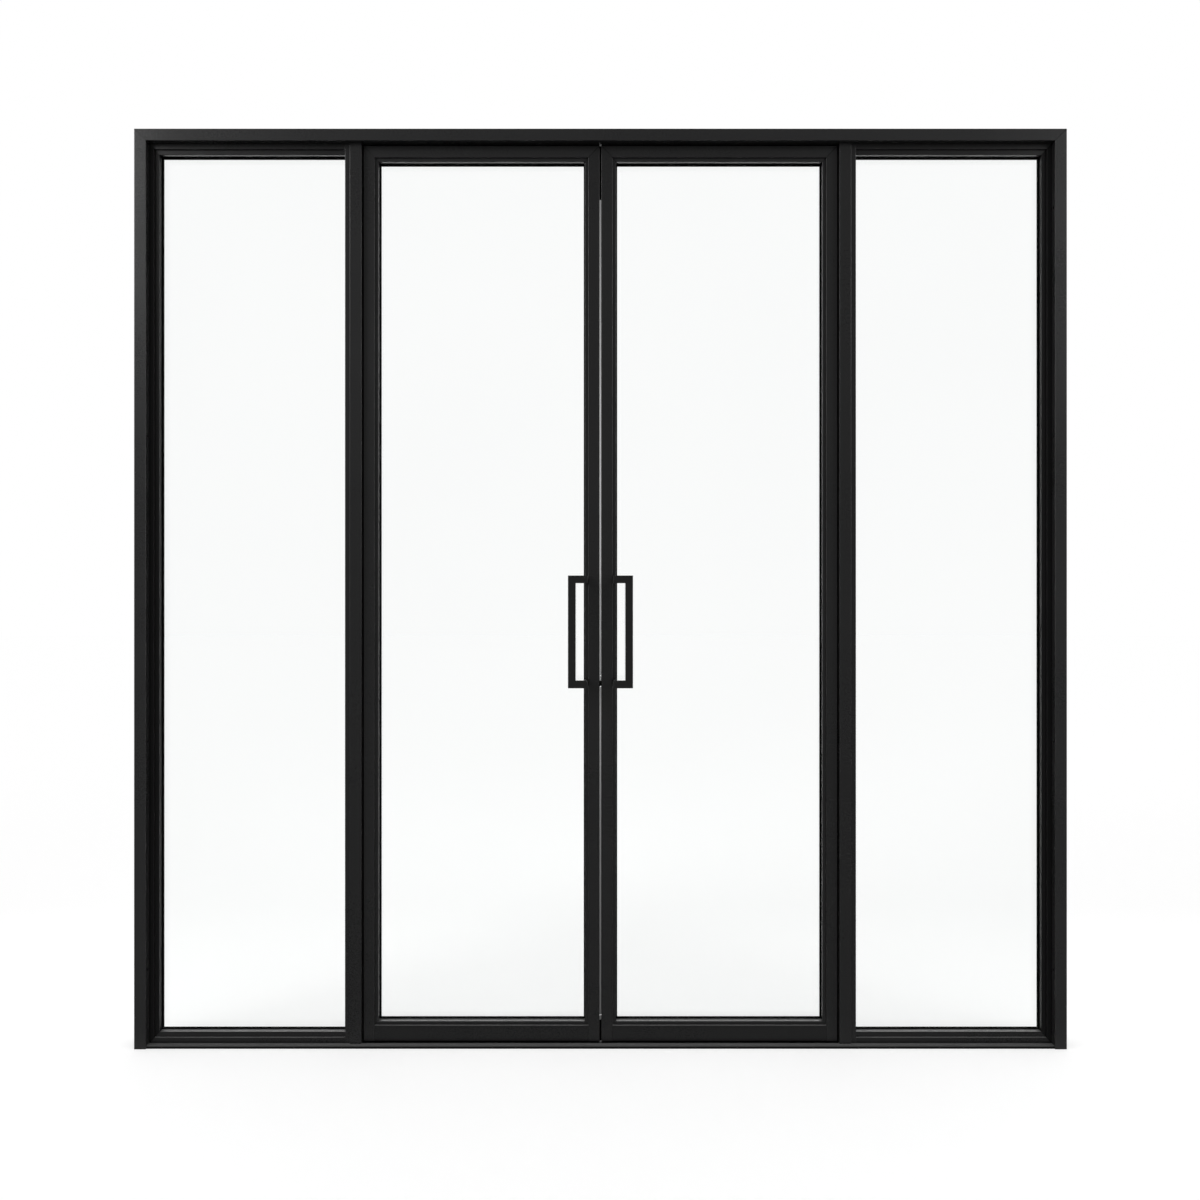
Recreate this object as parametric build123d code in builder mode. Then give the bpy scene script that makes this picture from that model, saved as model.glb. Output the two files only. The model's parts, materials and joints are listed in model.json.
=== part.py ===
import os
from math import atan2, degrees

from build123d import *

os.makedirs("parts", exist_ok=True)

# Outer frame: hollow section, mitred at the top corners, with a rebate along its rear inner edge
frame_width = 2440
frame_height = 2408
frame_depth = 92
frame_face = 31
profile_wall = 2
edge_round = 1.2
rebate_step = 7
rebate_depth = 29
sill_height = 8
sill_setback = 4
sill_nose = 2
fixing_radius = 4
fixing_setback = 12
fixing_spacings = (2000, 800)
overrun = 50

# Mullions between the doorway and the sidelights
doorway_width = 1257
mullion_setback = 18
mullion_face = 31
mullion_lip = 13.5

# Sash section, shared by the fixed sidelights and the leaves
sash_depth = 60
lip_setback = 6
lip_depth = 20
sidelight_setback = 24
sidelight_face = 13.5
sidelight_rail_face = 15
sidelight_lip = 12
leaf_face = 29.5
leaf_meeting_face = 29.5
leaf_top_face = 31
leaf_bottom_face = 41
leaf_lip = 9.3
leaf_gap = 3
sill_gap = 3
meeting_gap = 5

# Corner cleats inside the mitres
cleat_fit = 0.3
cleat_depth = 26
frame_cleat_leg = 110
frame_cleat_setback = 24
sash_cleat_leg = 90
sash_cleat_setback = 30

# Glazing
front_gasket_depth = 10
rear_gasket_depth = 2
gasket_sight = 3.2
pane_thickness = 4
pane_cavity = 8
glass_clearance = 3
spacer_inset = 0.8
spacer_height = 4.2
bead_height = 6.4
bead_overlap = 1
bead_bevel = 2.5
mitre_gap = 0.2
block_length = 80
block_place_share = 0.25

# Hinges on the rear faces
hinge_length = 100
hinge_plate_width = 22
hinge_plate_thickness = 3
barrel_radius = 6
barrel_standoff = 0.3
knuckle_count = 5
knuckle_gap = 0.3
plate_clearance = 0.5
pin_radius = 3
pin_clearance = 0.05
pin_cap = 4
hinge_height_shares = (0.1, 0.5, 0.9)

# Pulls
pull_length = 293
pull_bottom = 946
pull_bar = 20
pull_bar_depth = 12
pull_projection = 58
pull_reach = 82
pull_edge = 0.8
outer_foot = 8.4
inner_pull_length = 306
inner_pull_bottom = 934
inner_pull_reach = 85.5
inner_foot = 12
inner_foot_inset = 8

# Seals
seal_setback = 1
pad_setback = 2.8
seal_depth = 4
seal_lap = 0.8
seal_lap_gap = 0.3
pile_foot_gap = 56
pile_head_gap = 143
pile_joint = 2
pile_foot_length = 12
pile_catch_length = 21
sweep_depth = 10
seal_clearance = 0.3
rebate_seal_gap = 3
rebate_seal_width = 5

# Flush bolts in the left leaf's edge
bolt_radius = 4
bolt_clearance = 0.05
bolt_setback = 16
bolt_sink = 1
bolt_plate_thickness = 1
bolt_plate_width = 18
bolt_plate_lap = 3
bolt_case_width = 12
bolt_case_depth = 20
top_plate_length = 130
top_plate_end = 8
top_travel = 14
top_thumb = 14
bottom_plate_length = 50
bottom_plate_end = 2
bottom_travel = 10
bottom_thumb = 10
thumb_width = 6
thumb_proud = 0.9
strike_clearance = 0.5
slide_clearance = 0.2

# Spring catch in the right leaf's edge
catch_height = 954
catch_setback = 32
catch_case_height = 36
catch_case_width = 12
catch_case_depth = 22
catch_back = 2
catch_plate_lap = 4
catch_plate_thickness = 1
catch_bolt_height = 16.6
catch_bolt_width = 8
catch_bolt_tail = 14
catch_tip_clearance = 0.3
catch_notch = 17
strike_height = 44
strike_width = 24
strike_slot_height = 22
strike_slot_width = 14

# Derived places
front_y = -frame_depth / 2
rear_y = frame_depth / 2
rebate_y = rear_y - rebate_depth
head_z = frame_height - frame_face
jamb_x = frame_width / 2 - frame_face
mullion_x = doorway_width / 2
mullion_back_x = mullion_x + mullion_face
leaf_y = rear_y - sash_depth
leaf_x = mullion_x - leaf_gap
meet_x = meeting_gap / 2
leaf_bottom = sill_height + sill_gap
leaf_top = head_z - leaf_gap
sidelight_y = front_y + sidelight_setback
sidelight_rail_lip = sidelight_lip * sidelight_rail_face / sidelight_face
leaf_meeting_lip = leaf_lip * leaf_meeting_face / leaf_face
leaf_top_lip = leaf_lip * leaf_top_face / leaf_face
glass_depth = 2 * pane_thickness + pane_cavity
hinge_x = (leaf_x + mullion_x) / 2 + rebate_step
hinge_y = rear_y + barrel_standoff + barrel_radius
hinge_heights = [leaf_bottom + share * (leaf_top - leaf_bottom) for share in hinge_height_shares]
bolt_x = -meet_x - leaf_meeting_face / 2
bolt_y = leaf_y + bolt_setback
catch_y = leaf_y + catch_setback
pile_bottom = leaf_bottom + pile_foot_gap
pile_top = leaf_top - pile_head_gap
pile_low_joint = pile_bottom + pile_foot_length
pile_high_joint = catch_height + pile_catch_length

sides = ((-1, "left"), (1, "right"))
depth_way = Vector(0, 1, 0)


def save(builder, label):
    builder.part.label = label
    export_step(builder.part, f"parts/{label}.step")


def bar_plane(x, y, z, inward):
    # Section plane of a straight bar: local x runs inward from its outer edge, local y runs back.
    across = Vector(*inward)
    return Plane(origin=(x, y, z), x_dir=across, z_dir=across.cross(depth_way))


def wall_plane(y):
    # Upright plane across the unit, with local x to the right and local y up.
    return Plane.XZ.offset(-y)


def run_to(plane, x, z):
    # Signed length from the plane to an end point.
    return (Vector(x, plane.origin.Y, z) - plane.origin).dot(plane.z_dir)


def tube_section(sketch, outline):
    Polygon(*outline, align=None)
    offset(amount=-profile_wall, kind=Kind.INTERSECTION, mode=Mode.SUBTRACT)
    fillet(sketch.vertices().group_by(Axis.Y)[0], edge_round)


def rebated_outline(face, depth, shoulder):
    return [
        (0, 0),
        (face, 0),
        (face, shoulder),
        (face - rebate_step, shoulder),
        (face - rebate_step, depth),
        (0, depth),
    ]


def plain_outline(face):
    return [(0, 0), (face, 0), (face, sash_depth), (0, sash_depth)]


def flanged_outline(face, shoulder):
    return [
        (0, 0),
        (face, 0),
        (face, sash_depth),
        (-rebate_step, sash_depth),
        (-rebate_step, shoulder),
        (0, shoulder),
    ]


def lip_section(sketch, face, lip, depth):
    middle = lip_setback + depth / 2
    with Locations((face + lip / 2, middle)):
        Rectangle(lip, depth)
    with Locations((face + (lip - profile_wall) / 2, middle)):
        Rectangle(lip - profile_wall, depth - 2 * profile_wall, mode=Mode.SUBTRACT)
    fillet(sketch.vertices().group_by(Axis.Y)[0].sort_by(Axis.X)[-1], edge_round)


def mitre(x, z, side, end, upright, across, down):
    # Plane from an outer corner to the inner one, which keeps the upright or the level bar.
    way = 1 if upright else -1
    return Plane(origin=(x, 0, z), z_dir=(way * side * down, 0, -way * end * across))


def frame_bars():
    shoulder = frame_depth - rebate_depth
    outline = rebated_outline(frame_face, frame_depth, shoulder)
    for side, name in sides:
        x = side * frame_width / 2
        plane = bar_plane(x, front_y, 0, (-side, 0, 0))
        with BuildPart() as jamb:
            with BuildSketch(plane) as section:
                tube_section(section, outline)
            extrude(amount=run_to(plane, x, frame_height))
            corner = mitre(x, frame_height, side, 1, True, frame_face, frame_face)
            split(bisect_by=corner, keep=Keep.TOP)
            for spacing in fixing_spacings:
                for way in (-1, 1):
                    height = frame_height / 2 + way * spacing / 2
                    with Locations(Plane(origin=(x, front_y + fixing_setback, height), z_dir=(1, 0, 0))):
                        Cylinder(fixing_radius, 2 * frame_face + overrun, mode=Mode.SUBTRACT)
        save(jamb, f"{name}_jamb")

    plane = bar_plane(-frame_width / 2, front_y, frame_height, (0, 0, -1))
    with BuildPart() as head:
        with BuildSketch(plane) as section:
            tube_section(section, outline)
        extrude(amount=run_to(plane, frame_width / 2, frame_height))
        for side, _ in sides:
            corner = mitre(side * frame_width / 2, frame_height, side, 1, False, frame_face, frame_face)
            split(bisect_by=corner, keep=Keep.TOP)
        with Locations((bolt_x, bolt_y, head_z)):
            Cylinder(bolt_radius + strike_clearance, frame_face, mode=Mode.SUBTRACT)
    save(head, "head")

    with BuildPart() as sill:
        with BuildSketch(Plane.XY):
            with Locations((0, sill_setback / 2)):
                Rectangle(2 * jamb_x, frame_depth - sill_setback)
            with Locations((bolt_x, bolt_y)):
                Circle(bolt_radius + strike_clearance, mode=Mode.SUBTRACT)
        extrude(amount=sill_height)
        chamfer(sill.edges().filter_by(Axis.X).group_by(Axis.Z)[-1].sort_by(Axis.Y)[0], sill_nose)
    save(sill, "sill")


def mullion(side, name):
    depth = frame_depth - mullion_setback
    shoulder = depth - rebate_depth
    outline = [
        (0, 0),
        (mullion_face, 0),
        (mullion_face, depth),
        (rebate_step, depth),
        (rebate_step, shoulder),
        (0, shoulder),
    ]
    x = side * mullion_x
    plane = bar_plane(x, front_y + mullion_setback, sill_height, (side, 0, 0))
    lip_back = sidelight_setback + lip_setback + lip_depth - mullion_setback
    with BuildPart() as post:
        with BuildSketch(plane) as section:
            tube_section(section, outline)
        extrude(amount=run_to(plane, x, head_z + rebate_step))
        with BuildSketch(plane) as section:
            lip_section(section, mullion_face, mullion_lip, lip_back - lip_setback)
        extrude(amount=run_to(plane, x, head_z))
        with BuildSketch(Plane.XY.offset(head_z)):
            with Locations((side * (mullion_x + mullion_face / 2), rebate_y - shoulder / 2)):
                Rectangle(mullion_face, shoulder)
        extrude(amount=overrun, mode=Mode.SUBTRACT)
    save(post, f"{name}_mullion")


def sidelight_bars(side, name):
    shoulder = frame_depth - rebate_depth - sidelight_setback
    x = side * jamb_x
    wall_x = side * (jamb_x + rebate_step)
    inner_x = side * mullion_back_x
    with BuildPart() as stile:
        plane = bar_plane(x, sidelight_y, sill_height, (-side, 0, 0))
        with BuildSketch(plane) as section:
            tube_section(section, flanged_outline(sidelight_face, shoulder))
        extrude(amount=run_to(plane, x, head_z + rebate_step))
        with BuildSketch(plane) as section:
            lip_section(section, sidelight_face, sidelight_lip, lip_depth)
        extrude(amount=run_to(plane, x, head_z))
        for end, z in ((1, head_z), (-1, sill_height)):
            corner = mitre(x, z, side, end, True, sidelight_face, sidelight_rail_face)
            split(bisect_by=corner, keep=Keep.TOP)
    save(stile, f"{name}_sidelight_stile")

    for end, z, outline, rail_name in (
        (1, head_z, flanged_outline(sidelight_rail_face, shoulder), "top"),
        (-1, sill_height, plain_outline(sidelight_rail_face), "bottom"),
    ):
        with BuildPart() as rail:
            plane = bar_plane(inner_x, sidelight_y, z, (0, 0, -end))
            with BuildSketch(plane) as section:
                tube_section(section, outline)
            extrude(amount=run_to(plane, wall_x if end > 0 else x, z))
            with BuildSketch(plane) as section:
                lip_section(section, sidelight_rail_face, sidelight_rail_lip, lip_depth)
            extrude(amount=run_to(plane, x, z))
            corner = mitre(x, z, side, end, False, sidelight_face, sidelight_rail_face)
            split(bisect_by=corner, keep=Keep.TOP)
            # The inner end is coped round the mullion's lip.
            with BuildSketch(Plane.XY):
                with Locations((inner_x + side * mullion_lip / 2, sidelight_y)):
                    Rectangle(mullion_lip, 2 * (lip_setback + lip_depth))
            extrude(amount=frame_height, mode=Mode.SUBTRACT)
        save(rail, f"{name}_sidelight_{rail_name}_rail")


def leaf_bars(side, name):
    shoulder = sash_depth - rebate_depth + rebate_seal_gap
    outer_x = side * leaf_x
    flange_x = side * (leaf_x + rebate_step)
    inner_x = side * meet_x
    lip_z = leaf_bottom + leaf_bottom_face + leaf_lip
    hinge_corner = (outer_x, leaf_top, side, 1)
    meeting_corner = (inner_x, leaf_top, -side, 1)

    with BuildPart() as hinge_stile:
        plane = bar_plane(outer_x, leaf_y, leaf_bottom, (-side, 0, 0))
        with BuildSketch(plane) as section:
            tube_section(section, flanged_outline(leaf_face, shoulder))
        extrude(amount=run_to(plane, outer_x, leaf_top + rebate_step))
        plane = bar_plane(outer_x, leaf_y, lip_z, (-side, 0, 0))
        with BuildSketch(plane) as section:
            lip_section(section, leaf_face, leaf_lip, lip_depth)
        extrude(amount=run_to(plane, outer_x, leaf_top))
        split(bisect_by=mitre(*hinge_corner, True, leaf_face, leaf_top_face), keep=Keep.TOP)
    save(hinge_stile, f"{name}_hinge_stile")

    with BuildPart() as meeting_stile:
        plane = bar_plane(inner_x, leaf_y, leaf_bottom, (side, 0, 0))
        with BuildSketch(plane) as section:
            tube_section(section, plain_outline(leaf_meeting_face))
        extrude(amount=run_to(plane, inner_x, leaf_top))
        plane = bar_plane(inner_x, leaf_y, lip_z, (side, 0, 0))
        with BuildSketch(plane) as section:
            lip_section(section, leaf_meeting_face, leaf_meeting_lip, lip_depth)
        extrude(amount=run_to(plane, inner_x, leaf_top))
        split(bisect_by=mitre(*meeting_corner, True, leaf_meeting_face, leaf_top_face), keep=Keep.TOP)
        # Openings in the edge wall for the cases of the bolts or the catch
        for low, high, middle_y, width in edge_openings(side):
            with Locations((inner_x, middle_y, (low + high) / 2)):
                Box(2 * profile_wall, width, high - low, mode=Mode.SUBTRACT)
    save(meeting_stile, f"{name}_meeting_stile")

    with BuildPart() as top_rail:
        plane = bar_plane(flange_x, leaf_y, leaf_top, (0, 0, -1))
        with BuildSketch(plane) as section:
            tube_section(section, flanged_outline(leaf_top_face, shoulder))
        extrude(amount=run_to(plane, inner_x, leaf_top))
        with BuildSketch(plane) as section:
            lip_section(section, leaf_top_face, leaf_top_lip, lip_depth)
        extrude(amount=run_to(plane, inner_x, leaf_top))
        split(bisect_by=mitre(*hinge_corner, False, leaf_face, leaf_top_face), keep=Keep.TOP)
        split(bisect_by=mitre(*meeting_corner, False, leaf_meeting_face, leaf_top_face), keep=Keep.TOP)
        if side < 0:
            with Locations((bolt_x, bolt_y, leaf_top)):
                Cylinder(bolt_radius + strike_clearance, leaf_face, mode=Mode.SUBTRACT)
    save(top_rail, f"{name}_top_rail")

    with BuildPart() as bottom_rail:
        start = side * (leaf_x - leaf_face)
        stop = side * (meet_x + leaf_meeting_face)
        plane = bar_plane(start, leaf_y, leaf_bottom, (0, 0, 1))
        with BuildSketch(plane) as section:
            tube_section(section, plain_outline(leaf_bottom_face))
        extrude(amount=run_to(plane, stop, leaf_bottom))
        with BuildSketch(plane) as section:
            lip_section(section, leaf_bottom_face, leaf_lip, lip_depth)
        extrude(amount=run_to(plane, stop, leaf_bottom))
    save(bottom_rail, f"{name}_bottom_rail")


def cleat(x, z, side, end, across, down, leg):
    # Angle that fills the hollow of both bars at a mitred corner, drawn from the outer corner inwards
    near = profile_wall + cleat_fit
    far_x = across - near
    far_z = down - near
    outline = [(near, near), (leg, near), (leg, far_z), (far_x, far_z), (far_x, leg), (near, leg)]
    Polygon(*[(x - side * run, z - end * drop) for run, drop in outline], align=None)


def cleats():
    with BuildPart() as frame_cleats:
        with BuildSketch(wall_plane(front_y + frame_cleat_setback)):
            for side, _ in sides:
                corner = (side * frame_width / 2, frame_height, side, 1)
                cleat(*corner, frame_face, frame_face, frame_cleat_leg)
        extrude(amount=-cleat_depth)
        with BuildSketch(wall_plane(sidelight_y + sash_cleat_setback)):
            for side, _ in sides:
                for end, z in ((1, head_z), (-1, sill_height)):
                    corner = (side * jamb_x, z, side, end)
                    cleat(*corner, sidelight_face, sidelight_rail_face, sash_cleat_leg)
        extrude(amount=-cleat_depth)
    save(frame_cleats, "frame_corner_cleats")

    for side, name in sides:
        with BuildPart() as leaf_cleats:
            with BuildSketch(wall_plane(leaf_y + sash_cleat_setback)):
                cleat(side * leaf_x, leaf_top, side, 1, leaf_face, leaf_top_face, sash_cleat_leg)
                cleat(side * meet_x, leaf_top, -side, 1, leaf_meeting_face, leaf_top_face, sash_cleat_leg)
            extrude(amount=-cleat_depth)
        save(leaf_cleats, f"{name}_leaf_cleats")


def edge_openings(side):
    # Low end, high end, depth place and width of each opening in a meeting stile's edge wall
    bolt_width = bolt_case_width + 2 * slide_clearance
    top = leaf_top - top_plate_end - bolt_plate_lap + slide_clearance
    top_low = top - top_plate_length + 2 * bolt_plate_lap - 2 * slide_clearance
    low = leaf_bottom + bottom_plate_end + bolt_plate_lap - slide_clearance
    low_top = low + bottom_plate_length - 2 * bolt_plate_lap + 2 * slide_clearance
    half = catch_case_height / 2 + slide_clearance
    catch_width = catch_case_width + 2 * slide_clearance
    if side < 0:
        return [(top_low, top, bolt_y, bolt_width), (low, low_top, bolt_y, bolt_width)]
    return [(catch_height - half, catch_height + half, catch_y, catch_width)]


def inset(light, lips, further):
    # Box of a light, drawn in on each side by a lip and by a further margin
    ways = (1, -1, 1, -1)
    return [edge + way * (lip + further) for edge, lip, way in zip(light, lips, ways)]


def ring_section(outer, inner):
    # Four mitred strips between an outer and an inner box
    for (low_x, high_x, low_z, high_z), mode in ((outer, Mode.ADD), (inner, Mode.SUBTRACT)):
        with Locations(((low_x + high_x) / 2, (low_z + high_z) / 2)):
            Rectangle(high_x - low_x, high_z - low_z, mode=mode)
    for x, inner_x in zip(outer[:2], inner[:2]):
        for z, inner_z in zip(outer[2:], inner[2:]):
            turn = degrees(atan2(inner_z - z, inner_x - x))
            with Locations(((x + inner_x) / 2, (z + inner_z) / 2)):
                Rectangle(overrun, mitre_gap, rotation=turn, mode=Mode.SUBTRACT)


def glaze(label, light, sash_y, lips):
    floor = (0, 0, 0, 0)
    low_x, high_x, low_z, high_z = light
    width = high_x - low_x - 2 * glass_clearance
    height = high_z - low_z - 2 * glass_clearance
    middle_x = (low_x + high_x) / 2
    middle_z = (low_z + high_z) / 2
    gasket_y = sash_y + lip_setback + lip_depth
    glass_y = gasket_y + front_gasket_depth
    cavity_y = glass_y + pane_thickness
    glass_back = glass_y + glass_depth
    bead_y = glass_back + rear_gasket_depth

    with BuildPart() as panes:
        for pane_y in (glass_y, cavity_y + pane_cavity):
            with Locations((middle_x, pane_y + pane_thickness / 2, middle_z)):
                Box(width, pane_thickness, height)
    save(panes, f"{label}_panes")

    with BuildPart() as spacer:
        with BuildSketch(wall_plane(cavity_y)):
            with Locations((middle_x, middle_z)):
                Rectangle(width - 2 * spacer_inset, height - 2 * spacer_inset)
                margin = spacer_inset + spacer_height
                Rectangle(width - 2 * margin, height - 2 * margin, mode=Mode.SUBTRACT)
        extrude(amount=-pane_cavity)
    save(spacer, f"{label}_spacer")

    gasket_edge = inset(light, floor, glass_clearance)
    with BuildPart() as gaskets:
        with BuildSketch(wall_plane(gasket_y)):
            ring_section(gasket_edge, inset(light, lips, gasket_sight))
        extrude(amount=-front_gasket_depth)
        with BuildSketch(wall_plane(glass_back)):
            ring_section(gasket_edge, inset(light, floor, bead_height - bead_overlap))
        extrude(amount=-rear_gasket_depth)
        # Setting blocks carry the glass on the bottom rail.
        for share in (block_place_share, 1 - block_place_share):
            block_x = low_x + share * (high_x - low_x)
            with Locations((block_x, glass_y + glass_depth / 2, low_z + glass_clearance / 2)):
                Box(block_length, glass_depth - 2 * mitre_gap, glass_clearance)
    save(gaskets, f"{label}_gaskets")

    with BuildPart() as beads:
        with BuildSketch(wall_plane(bead_y)):
            ring_section(light, inset(light, floor, bead_height))
        extrude(amount=bead_y - sash_y - sash_depth)
        for face in beads.faces().filter_by(Axis.Y).group_by(Axis.Y)[-1]:
            chamfer(face.edges().sort_by(SortBy.LENGTH)[-2], bead_bevel)
    save(beads, f"{label}_beads")


def ordered(first, second):
    return (first, second) if first < second else (second, first)


def hinge_leaves(side, way, own_knuckles, label):
    # Plates on one side of the hinge pins, with their share of the knuckles
    pitch = hinge_length / knuckle_count
    x = side * hinge_x
    start = barrel_radius + plate_clearance
    plate_y = rear_y + hinge_plate_thickness / 2
    with BuildPart() as plates:
        for height in hinge_heights:
            with Locations((x + way * (start + hinge_plate_width) / 2, plate_y, height)):
                Box(hinge_plate_width - start, hinge_plate_thickness, hinge_length)
            for index in own_knuckles:
                z = height + (index - (knuckle_count - 1) / 2) * pitch
                with Locations((x + way * start / 2, plate_y, z)):
                    Box(start, hinge_plate_thickness, pitch - knuckle_gap)
                with Locations((x, hinge_y, z)):
                    Cylinder(barrel_radius, pitch - knuckle_gap)
            with Locations((x, hinge_y, height)):
                Cylinder(pin_radius + pin_clearance, hinge_length, mode=Mode.SUBTRACT)
    save(plates, label)


def hinge_pins():
    with BuildPart() as pins:
        for side, _ in sides:
            for height in hinge_heights:
                with Locations((side * hinge_x, hinge_y, height)):
                    Cylinder(pin_radius, hinge_length)
                for end in (-1, 1):
                    cap_z = height + end * (hinge_length + pin_cap) / 2
                    with Locations((side * hinge_x, hinge_y, cap_z)):
                        Cylinder(barrel_radius, pin_cap)
    save(pins, "hinge_pins")


def pull(side, label, face_y, seat_y, way, foot_x, foot, bottom, length, reach):
    # Square bar bent round the finger gap, on two feet that stand on the stile
    grip_x = side * (meet_x + reach - pull_bar / 2)
    end_x = side * (foot_x - foot / 2)
    far_x = side * (meet_x + reach)
    bar_y = face_y + way * (pull_projection - pull_bar_depth)
    arm_heights = (bottom + pull_bar / 2, bottom + length - pull_bar / 2)
    with BuildPart() as bar:
        with BuildSketch(wall_plane(bar_y)):
            with Locations((grip_x, bottom + length / 2)):
                Rectangle(pull_bar, length)
            for height in arm_heights:
                with Locations(((far_x + end_x) / 2, height)):
                    Rectangle(abs(far_x - end_x), pull_bar)
        extrude(amount=-way * pull_bar_depth)
        outer_face = bar.faces().filter_by(Axis.Y).sort_by(Axis.Y)[0 if way < 0 else -1]
        chamfer(outer_face.edges(), pull_edge)
        for height in arm_heights:
            with Locations((side * foot_x, (seat_y + bar_y) / 2, height)):
                Box(foot, abs(bar_y - seat_y), pull_bar)
    save(bar, label)


def leaf_seals(side, name):
    # The left strips lap over the front of the right ones.
    layer = (seal_depth - seal_lap_gap) / 2
    layer_y = leaf_y + (seal_depth + side * (seal_depth - layer)) / 2
    half_notch = catch_notch / 2
    joint = pile_joint / 2
    runs = (
        (pile_bottom, pile_low_joint - joint),
        (pile_low_joint + joint, catch_height - half_notch),
        (catch_height + half_notch, pile_high_joint - joint),
        (pile_high_joint + joint, pile_top),
    )
    width = meet_x + seal_lap
    with BuildPart() as pile:
        for low, high in runs:
            with Locations((side * (meet_x - width / 2), layer_y + seal_setback, (low + high) / 2)):
                Box(width, layer, high - low)
    save(pile, f"{name}_meeting_pile")

    sweep_height = sill_gap - seal_clearance
    with BuildPart() as rubbers:
        for low, high in ((leaf_bottom, pile_bottom), (pile_top, leaf_top)):
            with Locations((side * (meet_x - width / 2), layer_y + pad_setback, (low + high) / 2)):
                Box(width, layer, high - low)
        sweep_y = rear_y - sweep_depth
        with Locations((side * (leaf_x + meet_x) / 2, sweep_y, leaf_bottom - sweep_height / 2)):
            Box(leaf_x - meet_x, sweep_depth, sweep_height)
    save(rubbers, f"{name}_edge_rubbers")


def rebate_seal():
    thickness = rebate_seal_gap - seal_clearance
    y = rebate_y + thickness / 2
    middle_x = mullion_x + rebate_step / 2
    with BuildPart() as seal:
        for side, _ in sides:
            with Locations((side * middle_x, y, (sill_height + head_z) / 2)):
                Box(rebate_seal_width, thickness, head_z - sill_height)
        with Locations((0, y, head_z + rebate_step / 2)):
            Box(2 * mullion_x, thickness, rebate_seal_width)
    save(seal, "rebate_seal")


def flush_bolt(name, plate_low, plate_length, thumb, travel, lift, rod_low, rod_high):
    # lift is 1 for a bolt that shoots up and -1 for one that shoots down.
    plate_middle = plate_low + plate_length / 2
    edge_x = -meet_x
    slot_length = thumb + travel + 2 * slide_clearance
    slot_depth = leaf_meeting_face / 2 + bolt_plate_thickness
    slot_x = edge_x + bolt_plate_thickness - slot_depth / 2
    with BuildPart() as case:
        with Locations((edge_x + bolt_plate_thickness / 2, bolt_y, plate_middle)):
            Box(bolt_plate_thickness, bolt_plate_width, plate_length)
        with Locations((edge_x - bolt_case_depth / 2, bolt_y, plate_middle)):
            Box(bolt_case_depth, bolt_case_width, plate_length - 2 * bolt_plate_lap)
        with Locations((bolt_x, bolt_y, plate_middle)):
            Cylinder(bolt_radius + bolt_clearance, plate_length, mode=Mode.SUBTRACT)
        with Locations((slot_x, bolt_y, plate_middle)):
            Box(slot_depth, thumb_width + 2 * slide_clearance, slot_length, mode=Mode.SUBTRACT)
    save(case, f"{name}_bolt_case")

    thumb_depth = slot_depth + thumb_proud
    thumb_x = edge_x + bolt_plate_thickness + thumb_proud - thumb_depth / 2
    thumb_z = plate_middle - lift * travel / 2
    with BuildPart() as bolt:
        with Locations((bolt_x, bolt_y, (rod_low + rod_high) / 2)):
            Cylinder(bolt_radius, rod_high - rod_low)
        with Locations((thumb_x, bolt_y, thumb_z)):
            Box(thumb_depth, thumb_width, thumb)
    save(bolt, f"{name}_bolt")


def flush_bolts():
    top_low = leaf_top - top_plate_end - top_plate_length
    rod_top = leaf_top - bolt_sink
    rod_low = top_low + top_plate_length / 2 - top_travel / 2 - top_thumb
    flush_bolt("top", top_low, top_plate_length, top_thumb, top_travel, 1, rod_low, rod_top)
    low = leaf_bottom + bottom_plate_end
    rod_high = low + bottom_plate_length / 2 + bottom_travel / 2 + bottom_thumb
    flush_bolt(
        "bottom",
        low,
        bottom_plate_length,
        bottom_thumb,
        bottom_travel,
        -1,
        leaf_bottom + bolt_sink,
        rod_high,
    )


def spring_catch():
    plate_width = catch_case_width + 2 * catch_plate_lap
    plate_height = catch_case_height + 2 * catch_plate_lap
    slot_width = catch_bolt_width + 2 * slide_clearance
    slot_height = catch_bolt_height + 2 * slide_clearance
    slot_depth = catch_case_depth - catch_back + catch_plate_thickness
    with BuildPart() as case:
        with Locations((meet_x - catch_plate_thickness / 2, catch_y, catch_height)):
            Box(catch_plate_thickness, plate_width, plate_height)
        with Locations((meet_x + catch_case_depth / 2, catch_y, catch_height)):
            Box(catch_case_depth, catch_case_width, catch_case_height)
        with Locations((meet_x - catch_plate_thickness + slot_depth / 2, catch_y, catch_height)):
            Box(slot_depth, slot_width, slot_height, mode=Mode.SUBTRACT)
    save(case, "catch_case")

    nose = catch_bolt_width / 2
    tip_x = -meet_x + catch_tip_clearance
    tail_x = meet_x + catch_bolt_tail
    with BuildPart() as bolt:
        with Locations(((tip_x + nose + tail_x) / 2, catch_y, catch_height)):
            Box(tail_x - tip_x - nose, catch_bolt_width, catch_bolt_height)
        with Locations((tip_x + nose, catch_y, catch_height)):
            Cylinder(nose, catch_bolt_height)
    save(bolt, "catch_bolt")

    with BuildPart() as strike:
        with Locations((-meet_x + catch_plate_thickness / 2, catch_y, catch_height)):
            Box(catch_plate_thickness, strike_width, strike_height)
            Box(catch_plate_thickness, strike_slot_width, strike_slot_height, mode=Mode.SUBTRACT)
    save(strike, "catch_strike")


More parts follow.
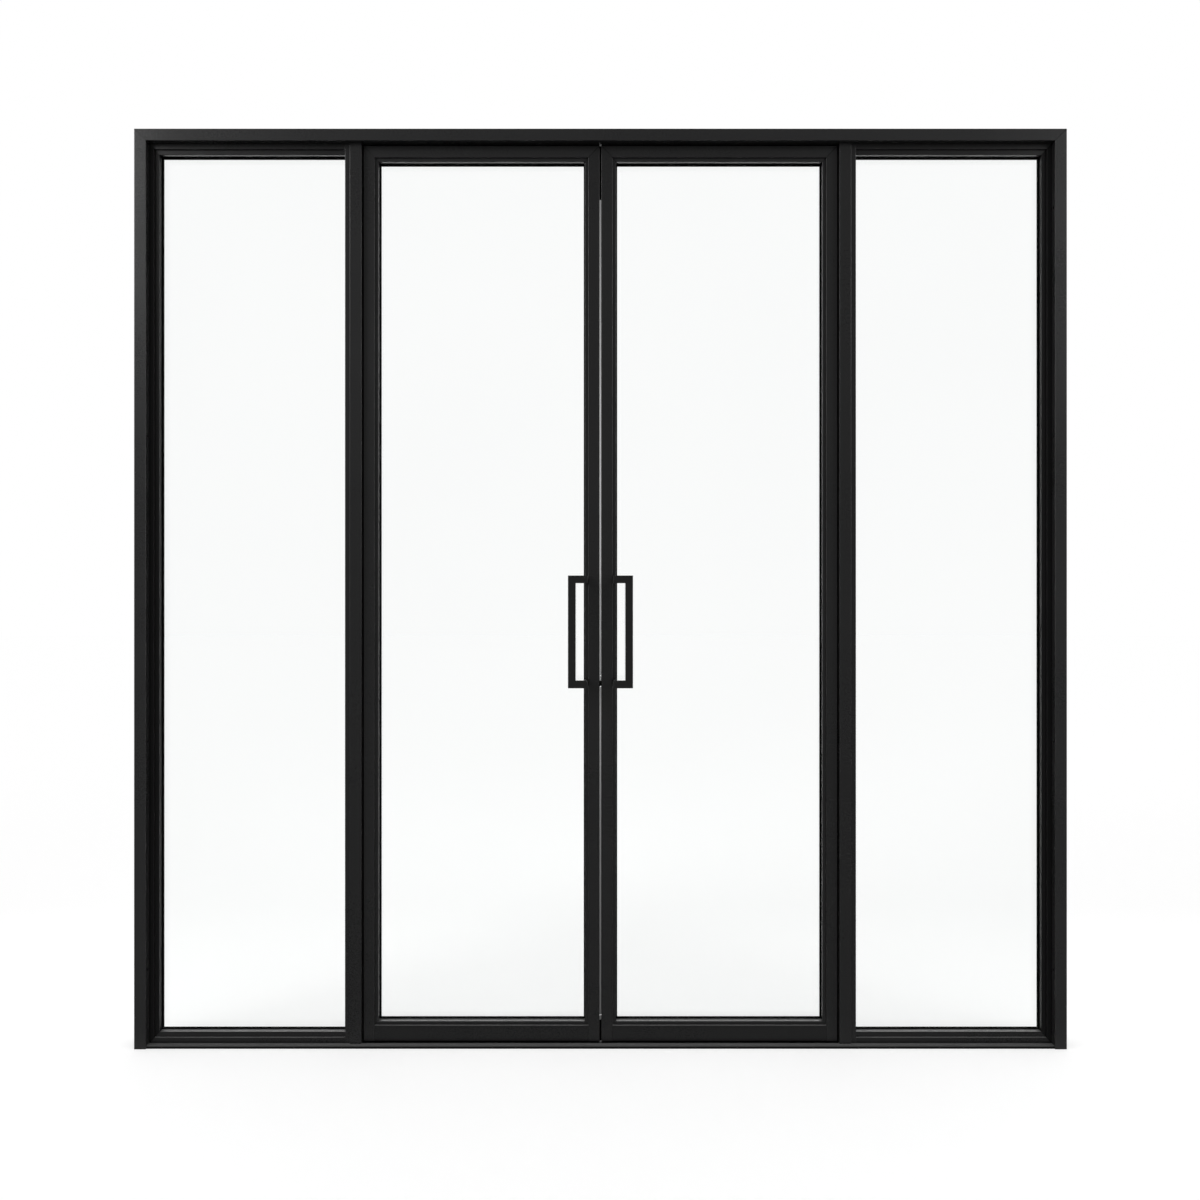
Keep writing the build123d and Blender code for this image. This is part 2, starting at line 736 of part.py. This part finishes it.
frame_bars()
for side, name in sides:
    mullion(side, name)
    sidelight_bars(side, name)
    low_x, high_x = ordered(side * mullion_back_x, side * (jamb_x - sidelight_face))
    sidelight_light = (low_x, high_x, sill_height + sidelight_rail_face, head_z - sidelight_rail_face)
    end_lips = (sidelight_lip, mullion_lip) if side < 0 else (mullion_lip, sidelight_lip)
    sidelight_lips = (*end_lips, sidelight_rail_lip, sidelight_rail_lip)
    glaze(f"{name}_sidelight", sidelight_light, sidelight_y, sidelight_lips)

    leaf_bars(side, name)
    low_x, high_x = ordered(side * (meet_x + leaf_meeting_face), side * (leaf_x - leaf_face))
    leaf_light = (low_x, high_x, leaf_bottom + leaf_bottom_face, leaf_top - leaf_top_face)
    end_lips = (leaf_lip, leaf_meeting_lip) if side < 0 else (leaf_meeting_lip, leaf_lip)
    glaze(f"{name}_leaf", leaf_light, leaf_y, (*end_lips, leaf_lip, leaf_top_lip))
    hinge_leaves(side, side, range(0, knuckle_count, 2), f"{name}_hinge_frame_plates")
    hinge_leaves(side, -side, range(1, knuckle_count, 2), f"{name}_hinge_leaf_plates")
    outer_seat = (leaf_y, leaf_y + lip_setback, -1, meet_x + leaf_meeting_face + leaf_meeting_lip / 2)
    pull(side, f"{name}_outer_pull", *outer_seat, outer_foot, pull_bottom, pull_length, pull_reach)
    inner_seat = (rear_y, rear_y, 1, meet_x + inner_foot_inset + inner_foot / 2)
    inner_size = (inner_pull_bottom, inner_pull_length, inner_pull_reach)
    pull(side, f"{name}_inner_pull", *inner_seat, inner_foot, *inner_size)
    leaf_seals(side, name)
cleats()
hinge_pins()
rebate_seal()
flush_bolts()
spring_catch()
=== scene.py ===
import json
import math

import bmesh
import bpy
from mathutils import Matrix, Vector


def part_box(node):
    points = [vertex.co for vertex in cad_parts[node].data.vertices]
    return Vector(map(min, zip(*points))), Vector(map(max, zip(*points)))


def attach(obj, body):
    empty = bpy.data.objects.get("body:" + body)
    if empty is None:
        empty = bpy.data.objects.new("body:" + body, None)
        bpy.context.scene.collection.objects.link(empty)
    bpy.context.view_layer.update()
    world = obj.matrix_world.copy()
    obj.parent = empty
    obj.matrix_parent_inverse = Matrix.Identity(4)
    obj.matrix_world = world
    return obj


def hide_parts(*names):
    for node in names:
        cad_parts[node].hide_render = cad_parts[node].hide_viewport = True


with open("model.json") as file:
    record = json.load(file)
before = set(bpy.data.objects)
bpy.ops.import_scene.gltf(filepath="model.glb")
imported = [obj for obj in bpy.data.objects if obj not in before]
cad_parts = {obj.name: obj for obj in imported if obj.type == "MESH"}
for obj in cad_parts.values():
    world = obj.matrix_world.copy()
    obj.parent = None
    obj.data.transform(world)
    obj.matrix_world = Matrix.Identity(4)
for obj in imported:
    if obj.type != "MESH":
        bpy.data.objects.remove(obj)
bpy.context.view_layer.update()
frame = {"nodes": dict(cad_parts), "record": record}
nodes = frame["nodes"]
bodies = frame["record"]["behaviour"]["bodies"]
bodyOf = {node: body for body, members in bodies.items() for node in members}
sides = (("left", -1), ("right", 1))
print("frame loaded:", len(nodes), "nodes")


# a socket that can be used in sums
class Wire:
    def __init__(self, board, socket):
        self.board = board
        self.socket = socket

    def sum(self, operation, first, second=None):
        values = {0: first} if second is None else {0: first, 1: second}
        return self.board.add("ShaderNodeMath", {"operation": operation}, values)

    def __add__(self, other):
        return self.sum("ADD", self, other)

    def __radd__(self, other):
        return self.sum("ADD", other, self)

    def __sub__(self, other):
        return self.sum("SUBTRACT", self, other)

    def __rsub__(self, other):
        return self.sum("SUBTRACT", other, self)

    def __mul__(self, other):
        return self.sum("MULTIPLY", self, other)

    def __rmul__(self, other):
        return self.sum("MULTIPLY", other, self)

    def __lt__(self, other):
        return self.sum("LESS_THAN", self, other)

    def __gt__(self, other):
        return self.sum("GREATER_THAN", self, other)

    def __abs__(self):
        return self.sum("ABSOLUTE", self)

    def high(self, other):
        return self.sum("MAXIMUM", self, other)


# a node tree, where add makes every node
class Board:
    def __init__(self, tree):
        self.tree = tree
        tree.nodes.clear()

    def add(self, kind, settings=None, values=None, out=0):
        node = self.tree.nodes.new(kind)
        for key, value in (settings or {}).items():
            if key == "stops":
                ramp = node.color_ramp
                while len(ramp.elements) < len(value):
                    ramp.elements.new(0.5)
                for mark, (place, shade) in zip(ramp.elements, value):
                    mark.position = place
                    mark.color = (shade, shade, shade, 1)
            else:
                setattr(node, key, value)
        for key, value in (values or {}).items():
            if isinstance(value, Wire):
                self.tree.links.new(value.socket, node.inputs[key])
            else:
                node.inputs[key].default_value = value
        return Wire(self, node.outputs[out] if len(node.outputs) else None)

    def place(self):
        return self.add("ShaderNodeTexCoord", out="Object")

    def split(self, vector):
        outs = self.add("ShaderNodeSeparateXYZ", values={0: vector}).socket.node.outputs
        return [Wire(self, out) for out in outs]

    # what the camera sees, straight or through glass, and what a reflection sees
    def rays(self):
        outs = self.add("ShaderNodeLightPath").socket.node.outputs
        seen = Wire(self, outs["Is Camera Ray"]).high(Wire(self, outs["Is Transmission Ray"]))
        return seen, Wire(self, outs["Is Glossy Ray"])

    def noise(self, place, scale, detail=2.0):
        values = {"Vector": place, "Scale": scale, "Detail": detail}
        return self.add("ShaderNodeTexNoise", values=values)

    def blend(self, share, first, second):
        values = {0: share, 6: first, 7: second}
        return self.add("ShaderNodeMix", {"data_type": "RGBA"}, values, out=2)

    def ramp(self, share, stops):
        return self.add("ShaderNodeValToRGB", {"stops": stops}, {0: share})

    def reach(self, value, low, high, start=0.0, stop=1.0):
        values = {0: value, 1: low, 2: high, 3: start, 4: stop}
        return self.add("ShaderNodeMapRange", {"clamp": True}, values)

    def bump(self, height, strength, distance):
        values = {"Strength": strength, "Distance": distance, "Height": height}
        return self.add("ShaderNodeBump", values=values)


def newFinish(name):
    material = bpy.data.materials.new(name)
    material.use_nodes = True
    return material, Board(material.node_tree)


def surface(board, values):
    shader = board.add("ShaderNodeBsdfPrincipled", values=values)
    board.add("ShaderNodeOutputMaterial", values={"Surface": shader})


def rgb(shade, tint=(1, 1, 1)):
    return (shade * tint[0], shade * tint[1], shade * tint[2], 1)


# two shades of one colour, mixed by a noise
def mottled(board, share, recipe):
    ends = [rgb(recipe["shade"] * part, recipe["tint"]) for part in recipe["spread"]]
    return board.blend(share, *ends)


# matte black powder coat on the extrusions, with a hairline at each mitre
powderCoat = {
    "shade": 0.0155,
    "tint": (1.0, 1.0, 1.02),
    "spread": (0.8, 1.25),
    "cloud": (2.3, 3.0),  # scale and detail of the noise
    "rough": 0.28,
    "cloudRough": 0.08,
    "grainRough": 0.04,
    "gloss": 0.45,
    "grain": 0.0016,
    "grainDepth": 0.00005,
    "bump": 0.05,
    "seam": 0.0011,
    "seamShade": 0.0012,
    "seamRough": 0.3,
    "seamDrop": 1.5,
}
# a shaded copy of the powder coat for the rails: its lower shade is painted shade
shadedRailCoat = {**powderCoat, "shade": 0.0135, "gloss": 0.40}

# each mitre runs from its outer corner, as |x| and z, to the inner one
mitres = {
    "frame": {"corner": (1.220, 2.408), "run": (-0.031, -0.031)},
    "sidelightTop": {"corner": (1.189, 2.377), "run": (-0.0135, -0.015)},
    "sidelightLow": {"corner": (1.189, 0.008), "run": (-0.0135, 0.015)},
    "leafHinge": {"corner": (0.6255, 2.374), "run": (-0.0295, -0.031)},
    "leafMeeting": {"corner": (0.0025, 2.374), "run": (0.0295, -0.031)},
}
sidelightMitres = ("sidelightTop", "sidelightLow")
leafMitres = ("leafHinge", "leafMeeting")


def coatFinish(name, recipe, seams=()):
    material, board = newFinish(name)
    place = board.place()
    x, y, z = board.split(place)
    grain = board.noise(place, 1 / recipe["grain"])
    cloud = board.noise(place, *recipe["cloud"])
    colour = mottled(board, cloud, recipe)
    if "paintedTopLight" in recipe:
        # painted highlight: paler on faces that look up, where the light falls on the sill and
        # the ledges
        facing = board.add("ShaderNodeNewGeometry", out="Normal")
        upward = board.split(facing)[2]
        pale = board.reach(upward, *recipe["paintedTopLightTilt"]) * (y < recipe["paintedTopLightEnd"])
        colour = board.blend(pale, colour, rgb(recipe["paintedTopLight"]))
    steady = recipe["rough"] - (recipe["cloudRough"] + recipe["grainRough"]) / 2
    rough = cloud * recipe["cloudRough"] + grain * recipe["grainRough"] + steady
    height = grain
    for seam in seams:
        corner, run = mitres[seam]["corner"], mitres[seam]["run"]
        slope = run[1] / run[0]
        start = corner[1] - slope * corner[0]
        line = abs(z - abs(x) * slope - start) < recipe["seam"] * math.hypot(1, slope)
        colour = board.blend(line, colour, rgb(recipe["seamShade"]))
        rough = rough + line * recipe["seamRough"]
        height = height - line * recipe["seamDrop"]
    values = {
        "Base Color": colour,
        "Roughness": rough,
        "Specular IOR Level": recipe["gloss"],
        "Normal": board.bump(height, recipe["bump"], recipe["grainDepth"]),
    }
    surface(board, values)
    return material


# the tilt is how far a face has to look up to take the painted highlight, and the back limit is
# where the painted highlight ends; behind it the sill top stays dark as painted shadow under the
# leaves
paintedTopLightTilt = (0.5, 0.9)
paintedTopLightDepth = 0.02  # the front strip of the sill top that takes the painted highlight
# the lower rails of the leaves and sidelights: a shaded copy of the coat with the painted
# highlight on their ledges
railWithPaintedTopLight = {**shadedRailCoat, "paintedTopLight": 0.16, "paintedTopLightTilt": paintedTopLightTilt, "paintedTopLightEnd": 0.1}
# the sidelight stiles get a darker, duller copy of the coat: its lower shade is painted shade
shadedStile = {**powderCoat, "shade": 0.009, "gloss": 0.18, "rough": 0.42}
# the sill: a darker copy of the coat, its lower shade painted shade, and the painted highlight
# on the front of its top
sillWithPaintedLightAndShade = {
    **powderCoat,
    "shade": 0.004,
    "gloss": 0.2,
    "rough": 0.30,
    "paintedTopLight": 0.14,
    "paintedTopLightTilt": paintedTopLightTilt,
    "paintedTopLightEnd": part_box("sill")[0].y + paintedTopLightDepth,
}
pullPaint = {**powderCoat, "shade": 0.0105, "rough": 0.36, "grain": 0.0011}
hingePaint = {**powderCoat, "shade": 0.008, "rough": 0.32}

# the jambs, the head and the top rails get lighter copies of the coat: their higher shade is
# painted light
litJambCoat = coatFinish("litJambCoat", {**powderCoat, "shade": 0.021}, ("frame",))
litHeadCoat = coatFinish("litHeadCoat", {**shadedRailCoat, "shade": 0.0215}, ("frame",))
sidelightStileCoat = coatFinish("sidelightStileCoat", shadedStile, sidelightMitres)
sidelightRailCoat = coatFinish("sidelightRailCoat", railWithPaintedTopLight, sidelightMitres)
hingeStileCoat = coatFinish("hingeStileCoat", powderCoat, ("leafHinge",))
meetingStileCoat = coatFinish("meetingStileCoat", powderCoat, ("leafMeeting",))
litTopRailCoat = coatFinish("litTopRailCoat", {**shadedRailCoat, "shade": 0.0205}, leafMitres)
bottomRailCoat = coatFinish("bottomRailCoat", railWithPaintedTopLight)
plainCoat = coatFinish("plainCoat", powderCoat)
sillCoat = coatFinish("sillCoat", sillWithPaintedLightAndShade)
pullCoat = coatFinish("pullCoat", pullPaint)
hingeCoat = coatFinish("hingeCoat", hingePaint)

# dull black rubber of the gaskets and seals
sealRubber = {
    "shade": 0.0012,
    "tint": (1.0, 1.0, 1.0),
    "spread": (0.7, 1.4),
    "cloud": (9.0, 3.0),
    "rough": 0.7,
    "cloudRough": 0.16,
    "gloss": 0.06,
    "grain": 0.0012,
    "grainDetail": 1.0,
    "grainDepth": 0.0001,
    "bump": 0.3,
}


def rubberFinish(name, recipe):
    material, board = newFinish(name)
    place = board.place()
    cloud = board.noise(place, *recipe["cloud"])
    grain = board.noise(place, 1 / recipe["grain"], recipe["grainDetail"])
    steady = recipe["rough"] - recipe["cloudRough"] / 2
    values = {
        "Base Color": mottled(board, cloud, recipe),
        "Roughness": cloud * recipe["cloudRough"] + steady,
        "Specular IOR Level": recipe["gloss"],
        "Normal": board.bump(grain, recipe["bump"], recipe["grainDepth"]),
    }
    surface(board, values)
    return material


blackRubber = rubberFinish("blackRubber", sealRubber)

# pale pile strip between the leaves, with painted shade darkening it towards both ends
pile = {
    "low": 0.067,
    "high": 2.231,
    "stops": ((0.0, 0.22), (0.25, 0.42), (0.5, 0.95), (0.75, 0.9), (1.0, 0.44)),
    "shadow": 0.08,
    "shadowShare": 0.35,
    "rough": 0.95,
    "gloss": 0.1,
    "tuft": 0.0006,
    "tuftDepth": 0.0002,
    "bump": 0.6,
}


def pileFinish(name, recipe):
    material, board = newFinish(name)
    place = board.place()
    along = board.reach(board.split(place)[2], recipe["low"], recipe["high"])
    tufts = board.noise(place, 1 / recipe["tuft"])
    # painted shade along the strip: brightest at mid height, darker towards both ends
    shade = board.ramp(along, recipe["stops"])
    values = {
        "Base Color": board.blend(tufts * recipe["shadowShare"], shade, rgb(recipe["shadow"])),
        "Roughness": recipe["rough"],
        "Specular IOR Level": recipe["gloss"],
        "Normal": board.bump(tufts, recipe["bump"], recipe["tuftDepth"]),
    }
    surface(board, values)
    return material


greyPile = pileFinish("greyPile", pile)

# brushed steel of the bolts and pins
steel = {
    "shade": 0.32,
    "tint": (1.0, 1.0, 1.0),
    "spread": (0.75, 1.2),
    "metallic": 1.0,
    "rough": 0.3,
    "strokeRough": 0.2,
    "stroke": 0.0004,
    "strokeDetail": 3.0,
    "strokeDepth": 0.00005,
    "stretch": (1.0, 1.0, 0.03),
    "bump": 0.25,
}


def steelFinish(name, recipe):
    material, board = newFinish(name)
    stretch = {"Vector": board.place(), "Scale": recipe["stretch"]}
    stretched = board.add("ShaderNodeMapping", values=stretch)
    strokes = board.noise(stretched, 1 / recipe["stroke"], recipe["strokeDetail"])
    steady = recipe["rough"] - recipe["strokeRough"] / 2
    values = {
        "Base Color": mottled(board, strokes, recipe),
        "Roughness": strokes * recipe["strokeRough"] + steady,
        "Metallic": recipe["metallic"],
        "Normal": board.bump(strokes, recipe["bump"], recipe["strokeDepth"]),
    }
    surface(board, values)
    return material


blackCase = {**steel, "shade": 0.03, "rough": 0.42, "metallic": 0.6}
blackSpacer = {**steel, "shade": 0.02, "rough": 0.5, "metallic": 0.5}
bareCleat = {**steel, "shade": 0.55, "rough": 0.45, "stroke": 0.0008}
boltSteel = steelFinish("boltSteel", steel)
caseSteel = steelFinish("caseSteel", blackCase)
spacerBar = steelFinish("spacerBar", blackSpacer)
cleatMetal = steelFinish("cleatMetal", bareCleat)

# clear float glass with a breath of haze
glass = {
    "shade": 1.0,
    "tint": (0.990, 0.995, 0.993),
    "spread": (1.0, 0.985),
    "cloud": (1.4, 3.0),
    "haze": 0.012,
    "ior": 1.3,
}


def glassFinish(name, recipe):
    material, board = newFinish(name)
    haze = board.noise(board.place(), *recipe["cloud"])
    values = {
        "Base Color": mottled(board, haze, recipe),
        "Roughness": haze * recipe["haze"],
        "IOR": recipe["ior"],
        "Transmission Weight": 1.0,
    }
    surface(board, values)
    return material


clearGlass = glassFinish("clearGlass", glass)
print("finishes made:", len(bpy.data.materials))


def coat(node, material):
    mesh = nodes[node].data
    mesh.materials.clear()
    mesh.materials.append(material)


# the first words found in a node's name choose its finish
finishes = (
    (("panes",), clearGlass),
    (("spacer",), spacerBar),
    (("cleats",), cleatMetal),
    (("gaskets", "rubbers", "rebate_seal"), blackRubber),
    (("pile",), greyPile),
    (("pull",), pullCoat),
    (("plates",), hingeCoat),
    (("case", "strike"), caseSteel),
    (("pins", "bolt"), boltSteel),
    (("beads", "mullion"), plainCoat),
    (("sill",), sillCoat),
    (("head",), litHeadCoat),
    (("jamb",), litJambCoat),
    (("sidelight_stile",), sidelightStileCoat),
    (("sidelight_top", "sidelight_bottom"), sidelightRailCoat),
    (("hinge_stile",), hingeStileCoat),
    (("meeting_stile",), meetingStileCoat),
    (("top_rail",), litTopRailCoat),
    (("bottom_rail",), bottomRailCoat),
)
for node in nodes:
    coat(node, next(finish for words, finish in finishes if any(word in node for word in words)))
print("finishes on every node")


def newPiece(name, shape, material, body):
    mesh = bpy.data.meshes.new(name)
    shape.to_mesh(mesh)
    shape.free()
    mesh.materials.append(material)
    piece = bpy.data.objects.new(name, mesh)
    bpy.context.scene.collection.objects.link(piece)
    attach(piece, body)
    return piece


# the pulls have eased edges, kind to the hand
easing = {
    "radius": 0.0012,
    "steps": 3,
    "shortest": 0.015,  # shorter edges stay as they are
    "sharp": 0.5,
    "weld": 0.00001,
    "flat": 0.002,
}


def easedPull(node):
    shape = bmesh.new()
    shape.from_mesh(nodes[node].data)
    bmesh.ops.remove_doubles(shape, verts=shape.verts, dist=easing["weld"])
    flat = easing["flat"]
    bmesh.ops.dissolve_limit(shape, angle_limit=flat, verts=shape.verts, edges=shape.edges)
    arrises = [
        edge
        for edge in shape.edges
        if edge.is_manifold
        and edge.is_convex
        and edge.calc_length() > easing["shortest"]
        and edge.calc_face_angle() > easing["sharp"]
    ]
    bmesh.ops.bevel(
        shape,
        geom=arrises,
        offset=easing["radius"],
        offset_type="OFFSET",
        affect="EDGES",
        segments=easing["steps"],
        profile=0.5,
        material=-1,
        clamp_overlap=True,
    )
    piece = newPiece(f"{node}_eased", shape, pullCoat, bodyOf[node])
    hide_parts(node)


for node in nodes:
    if "pull" in node:
        easedPull(node)
print("pull edges eased")


# countersunk socket screws, one piece for each group
screw = {
    "radius": 0.0036,
    "topShare": 0.86,  # of the radius, at the top of the head
    "segments": 18,
    "proud": 0.0005,
    "deep": 0.0004,
    "socket": 0.0016,
    "drop": 0.00072,
}


def screwGroup(name, places, facing, body, material):
    group = bmesh.new()
    turn = Vector((0, 0, 1)).rotation_difference(Vector(facing)).to_matrix().to_4x4()
    topRadius = screw["radius"] * screw["topShare"]
    for place in places:
        made = bmesh.ops.create_cone(
            group,
            cap_ends=True,
            segments=screw["segments"],
            radius1=screw["radius"],
            radius2=topRadius,
            depth=screw["proud"] + screw["deep"],
        )
        verts = made["verts"]
        lift = (screw["proud"] - screw["deep"]) / 2
        bmesh.ops.translate(group, verts=verts, vec=(0, 0, lift))
        faces = {face for vert in verts for face in vert.link_faces}
        top = max(faces, key=lambda face: face.calc_center_median().z)
        rim = topRadius - screw["socket"]
        bmesh.ops.inset_individual(group, faces=[top], thickness=rim)
        sunk = bmesh.ops.extrude_face_region(group, geom=[top])
        socketFloor = [item for item in sunk["geom"] if isinstance(item, bmesh.types.BMVert)]
        bmesh.ops.translate(group, verts=socketFloor, vec=(0, 0, -screw["drop"]))
        bmesh.ops.delete(group, geom=[top], context="FACES_ONLY")
        fresh = set(verts) | set(socketFloor)
        around = {face for vert in fresh for face in vert.link_faces}
        fresh |= {vert for face in around for vert in face.verts}
        bmesh.ops.transform(group, matrix=Matrix.Translation(place) @ turn, verts=list(fresh))
    bmesh.ops.recalc_face_normals(group, faces=group.faces)
    newPiece(name, group, material, body)


hingeScrews = {
    "axis": 0.634,
    "reach": 0.0143,
    "rises": (-0.034, 0.0, 0.034),
    "plateThickness": 0.003,
    "halfPlate": 0.05,
    "hingeShares": (0.0, 0.5, 1.0),
}
for side, sign in sides:
    low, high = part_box(f"{side}_hinge_frame_plates")
    bottom, top = low.z + hingeScrews["halfPlate"], high.z - hingeScrews["halfPlate"]
    heights = [
        bottom + share * (top - bottom) + rise
        for share in hingeScrews["hingeShares"]
        for rise in hingeScrews["rises"]
    ]
    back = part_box("sill")[1].y + hingeScrews["plateThickness"]
    for part, way, body in (("frame", 1, "frame"), ("leaf", -1, f"{side}_leaf")):
        across = sign * (hingeScrews["axis"] + way * hingeScrews["reach"])
        places = [Vector((across, back, height)) for height in heights]
        name = f"{side}_{part}_plate_screws"
        screwGroup(name, places, (0, 1, 0), body, hingeCoat)
print("hinge screws made")

# floor: pale where it is seen, darker in its light on the part and in reflections; its glow is
# painted light, stronger near the door than far behind it, and in reflections it glows as
# painted light, dimmer in front of the door than behind it
stage = {
    "size": 60.0,
    "pale": 0.71,
    "liftFront": 0.505,
    "liftBack": 0.43,
    "liftRun": (0.3, 1.5),
    "plain": 0.17,
    "mirrorFront": 0.12,
    "mirrorBack": 0.5,
    "mirrorRun": (-0.2, 0.2),
}


def floorFinish():
    material, board = newFinish("paleFloor")
    seen, mirror = board.rays()
    y = board.split(board.place())[1]
    # painted light: the glow seen in reflections is dimmer in front of the door, and the glow
    # seen straight on is stronger near the door
    glow = board.reach(y, *stage["mirrorRun"], stage["mirrorFront"], stage["mirrorBack"])
    lifted = board.reach(y, *stage["liftRun"], stage["liftFront"], stage["liftBack"])
    layers = []
    for shade, light in ((stage["plain"], mirror * glow), (stage["pale"], lifted)):
        matte = board.add("ShaderNodeBsdfDiffuse", values={"Color": rgb(shade)})
        lift = board.add("ShaderNodeEmission", values={"Color": light})
        layers.append(board.add("ShaderNodeAddShader", values={0: matte, 1: lift}))
    both = board.add("ShaderNodeMixShader", values={0: seen, 1: layers[0], 2: layers[1]})
    board.add("ShaderNodeOutputMaterial", values={"Surface": both})
    return material


ground = bmesh.new()
bmesh.ops.create_grid(ground, x_segments=1, y_segments=1, size=stage["size"] / 2)
floorMesh = bpy.data.meshes.new("floor")
ground.to_mesh(floorMesh)
ground.free()
floor = bpy.data.objects.new("floor", floorMesh)
bpy.context.scene.collection.objects.link(floor)
floorMesh.materials.append(floorFinish())

# world: white where it is seen, softer on the viewer's side for reflections
room = {
    "plain": 0.8,
    "front": 0.19,
    "back": 0.3,
    "backRun": (-0.35, 0.25),
    "above": 1.2,
    "aboveRun": (0.05, 0.35),
    "sides": 3.0,
    "sidesRun": (0.65, 0.9),
}
world = bpy.data.worlds.new("studio")
bpy.context.scene.world = world
world.use_nodes = True
sky = Board(world.node_tree)
across, depth, rise = sky.split(sky.add("ShaderNodeTexCoord", out="Generated"))
seen, mirror = sky.rays()
behind = sky.reach(rise, *room["aboveRun"], room["back"], room["above"])
reflected = sky.reach(depth, *room["backRun"], room["front"], behind)
reflected = reflected.high(sky.reach(abs(across), *room["sidesRun"], 0.0, room["sides"]))
level = seen + (1 - seen) * (mirror * reflected + (1 - mirror) * room["plain"])
backdrop = sky.add("ShaderNodeBackground", values={"Color": rgb(1.0), "Strength": level})
sky.add("ShaderNodeOutputWorld", values={"Surface": backdrop})

# softboxes in metres, watts and degrees
lampSpread = 80
lamps = {
    "leftSoftbox": {
        "place": (-2.5, -1.5, 2.9),
        "aim": (-1.2, 0.0, 2.2),
        "size": (0.9, 1.2),
        "power": 7.5,
    },
    "rightSoftbox": {
        "place": (2.6, -1.6, 2.7),
        "aim": (1.2, 0.0, 2.0),
        "size": (0.9, 1.2),
        "power": 3.5,
    },
    "backSoftbox": {
        "place": (0.4, 3.6, 2.8),
        "aim": (0.0, 0.0, 2.0),
        "size": (4.0, 1.0),
        "power": 5.0,
    },
}
for name, lamp in lamps.items():
    data = bpy.data.lights.new(name, "AREA")
    data.shape = "RECTANGLE"
    data.size, data.size_y = lamp["size"]
    data.energy = lamp["power"]
    data.spread = math.radians(lampSpread)
    holder = bpy.data.objects.new(name, data)
    bpy.context.scene.collection.objects.link(holder)
    holder.visible_transmission = False
    holder.location = lamp["place"]
    look = Vector(lamp["aim"]) - Vector(lamp["place"])
    holder.rotation_euler = look.to_track_quat("-Z", "Y").to_euler()
print("stage lit")

# camera straight on, at mid height, with its distance from the front of the frame
shot = {
    "distance": 3.4,
    "height": 1.204,
    "halfWidth": 1.569,
    "shift": (-0.0004, -0.0092),
    "sensor": 36.0,
    "farthest": 200.0,
}
lens = bpy.data.cameras.new("shot")
camera = bpy.data.objects.new("shot", lens)
bpy.context.scene.collection.objects.link(camera)
camera.location = (0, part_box("head")[0].y - shot["distance"], shot["height"])
camera.rotation_euler = (math.pi / 2, 0, 0)
lens.sensor_fit = "HORIZONTAL"
lens.sensor_width = shot["sensor"]
lens.lens = shot["sensor"] / 2 * shot["distance"] / shot["halfWidth"]
lens.shift_x, lens.shift_y = shot["shift"]
lens.clip_end = shot["farthest"]
bpy.context.scene.camera = camera
bpy.context.scene.view_settings.view_transform = "Standard"
